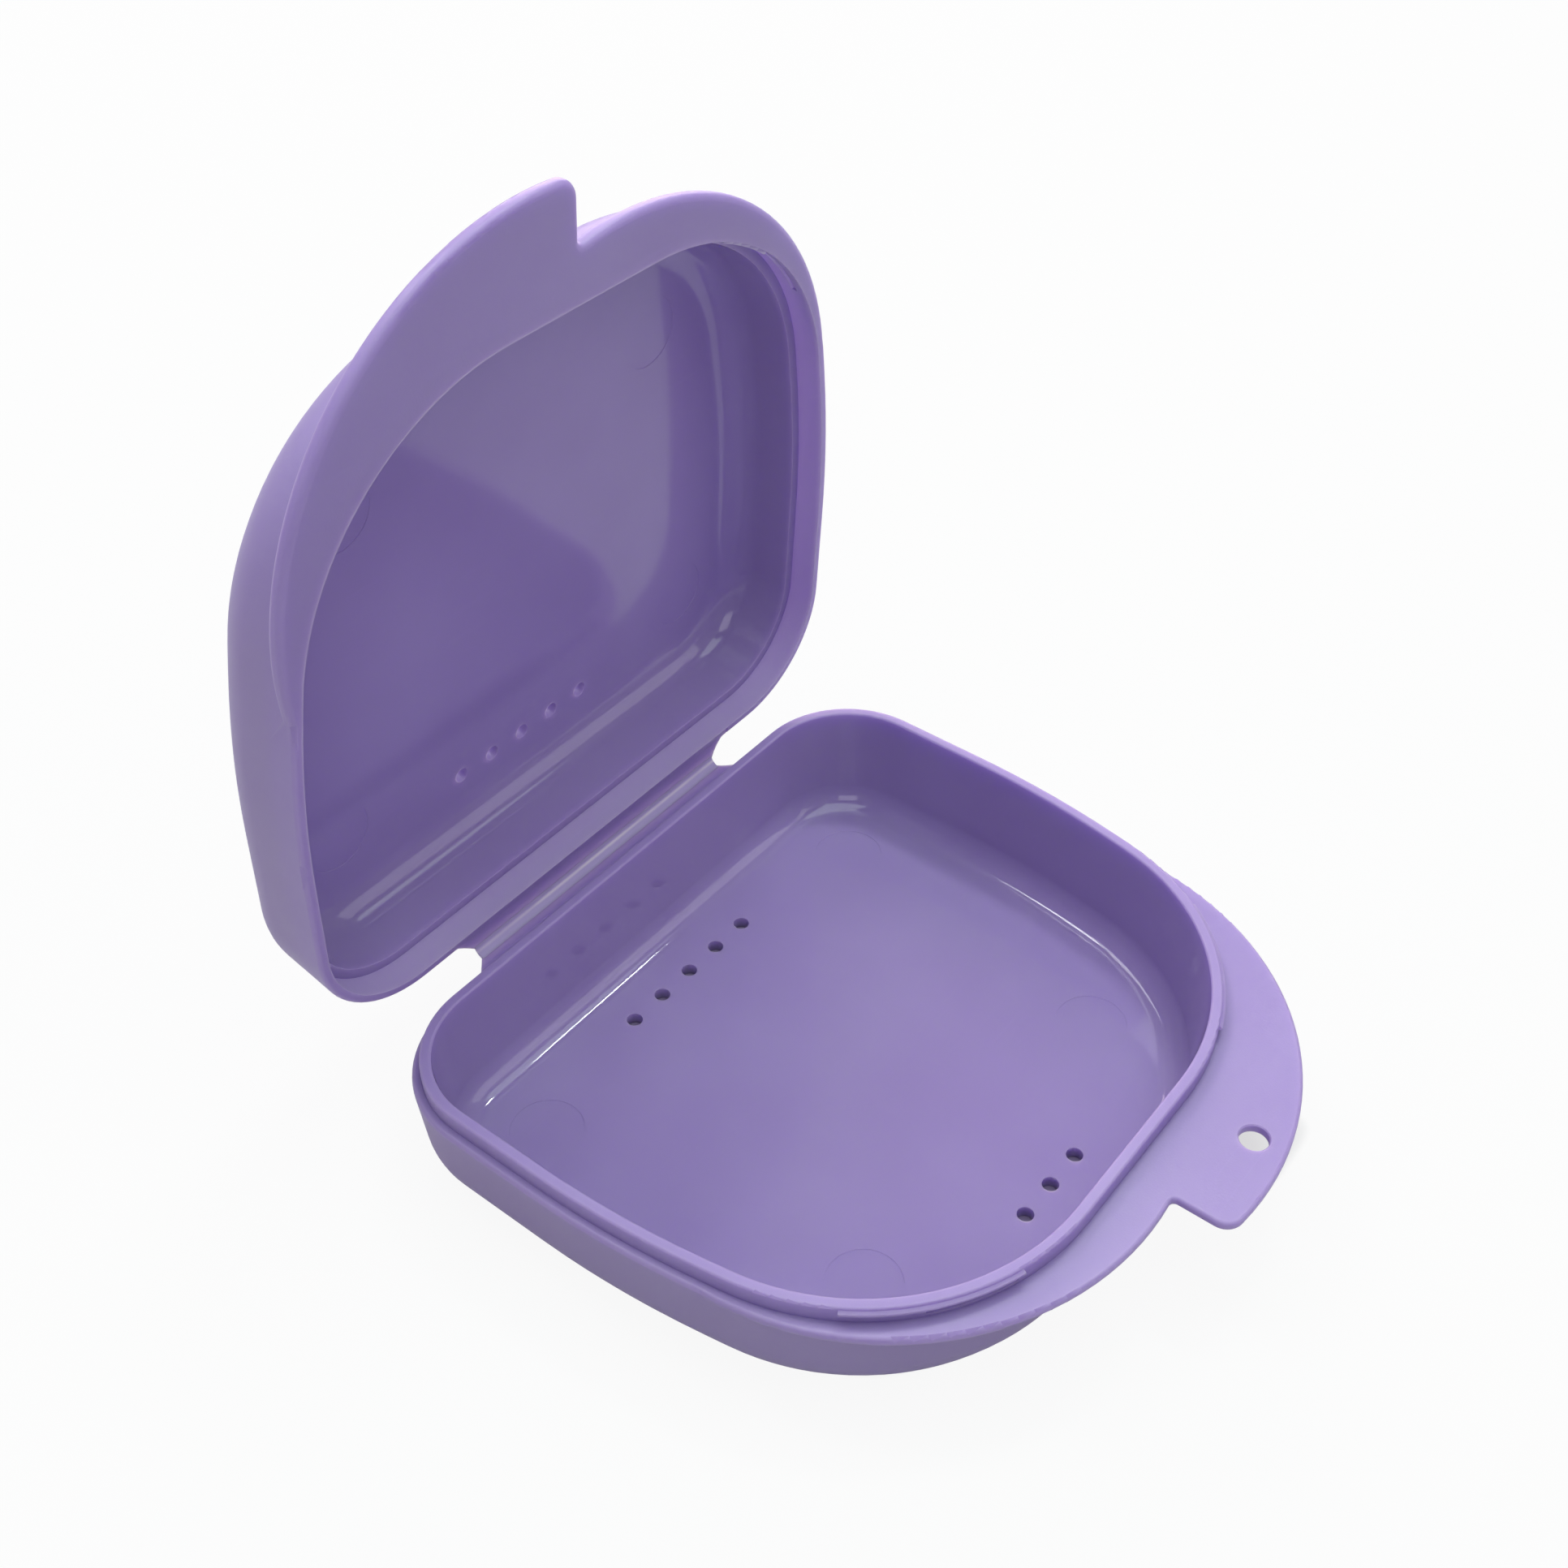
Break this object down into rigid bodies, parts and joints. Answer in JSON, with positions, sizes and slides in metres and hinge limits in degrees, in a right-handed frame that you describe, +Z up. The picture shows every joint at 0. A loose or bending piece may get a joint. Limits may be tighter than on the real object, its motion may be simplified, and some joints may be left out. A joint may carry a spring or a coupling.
{
  "type": "retainer case",
  "caption": "Hinged clamshell case for a dental retainer, with a plug-in lip, snap beads, vent holes and offset finger tabs.",
  "frame": {"origin": "centre of the flat face that the tray rests on, in the middle of the cavity's mouth seen from above", "axes": "+Z up, +Y to the hinge, +X along the hinge to the half that carries the tray's long finger tab"},
  "size_m": [0.077, 0.0917, 0.0929],
  "materials": {
    "tray_plastic": "smooth lilac polypropylene, polished inside and satin outside",
    "lid_plastic": "smooth lilac polypropylene, polished inside and satin outside",
    "hinge_plastic": "thin lilac polypropylene film, whitened where it bends"
  },
  "bodies": {
    "base": {"base_tray": "tray_plastic", "living_hinge": "hinge_plastic"},
    "lid": {"lid_shell": "lid_plastic"}
  },
  "joints": [
    {"name": "lid_hinge", "type": "hinge", "parent": "base", "child": "lid", "pos_m": [0, 0.036, 0.0124], "axis": [-1, 0, 0], "range_deg": [-85.85, 94.15], "deforming": ["living_hinge"]}
  ]
}
